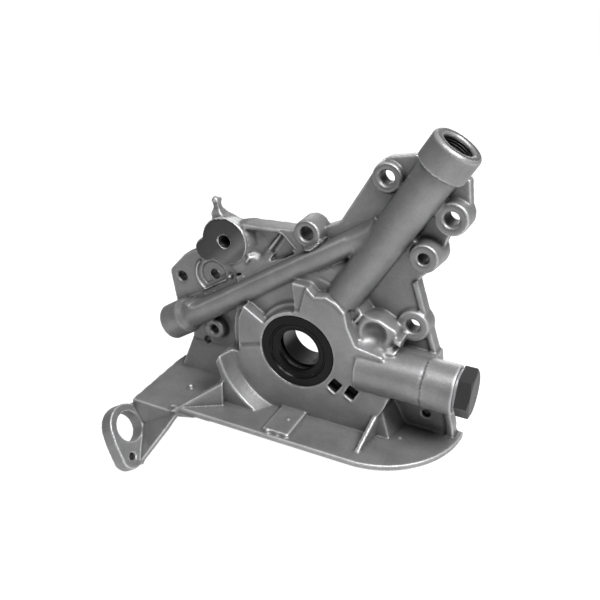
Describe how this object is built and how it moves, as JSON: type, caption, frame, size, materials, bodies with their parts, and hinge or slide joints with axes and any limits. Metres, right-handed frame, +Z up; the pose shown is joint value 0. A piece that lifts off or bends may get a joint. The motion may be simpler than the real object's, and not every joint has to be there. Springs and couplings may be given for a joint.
{
  "type": "engine oil pump",
  "caption": "Internal-gear oil pump in a die-cast front cover, with crank seal, relief valve, threaded oil tube, side gallery, sump flange and eye bracket.",
  "frame": {"origin": "on the crankshaft's axis at the face that bolts to the engine block, inside the rear end of the drive bore", "axes": "+X to the right seen from the front of the engine, +Y towards the engine block along the crankshaft, +Z up"},
  "size_m": [0.2326, 0.0931, 0.2406],
  "materials": {
    "cast_aluminium": "die-cast, satin, with faint grain",
    "gear_steel": "ground sintered steel",
    "cover_steel": "ground plate",
    "screw_steel": "dark plated",
    "case_steel": "pressed sheet",
    "seal_rubber": "smooth and glossy",
    "spring_steel": "drawn wire",
    "plunger_steel": "ground",
    "plug_steel": "dark phosphated",
    "washer_metal": "soft ring",
    "gallery_plug_steel": "dark"
  },
  "bodies": {
    "housing": {"pump_housing": "cast_aluminium", "cover_plate": "cover_steel", "cover_screws": "screw_steel", "seal_case": "case_steel", "seal_body": "seal_rubber", "seal_garter_spring": "spring_steel", "relief_spring": "spring_steel", "relief_plug": "plug_steel", "relief_plug_washer": "washer_metal", "gallery_plug": "gallery_plug_steel"},
    "drive_gear": {"inner_gear": "gear_steel"},
    "ring_gear": {"outer_gear": "gear_steel"},
    "plunger": {"relief_plunger": "plunger_steel"}
  },
  "joints": [
    {"name": "gear_spin", "type": "hinge", "parent": "housing", "child": "drive_gear", "pos_m": [0, 0, 0], "axis": [0, 1, 0], "continuous": true},
    {"name": "ring_spin", "type": "hinge", "parent": "housing", "child": "ring_gear", "pos_m": [-0.0075, 0, 0], "axis": [0, 1, 0], "continuous": true},
    {"name": "plunger_slide", "type": "slide", "parent": "housing", "child": "plunger", "axis": [1, 0, 0], "range_m": [0, 0.012], "stiffness_N_per_m": 6000, "springref_m": -0.0134, "deforming": ["relief_spring"]}
  ],
  "couplings": [
    {"joint": "ring_spin", "follows": "gear_spin", "ratio": 0.75}
  ]
}
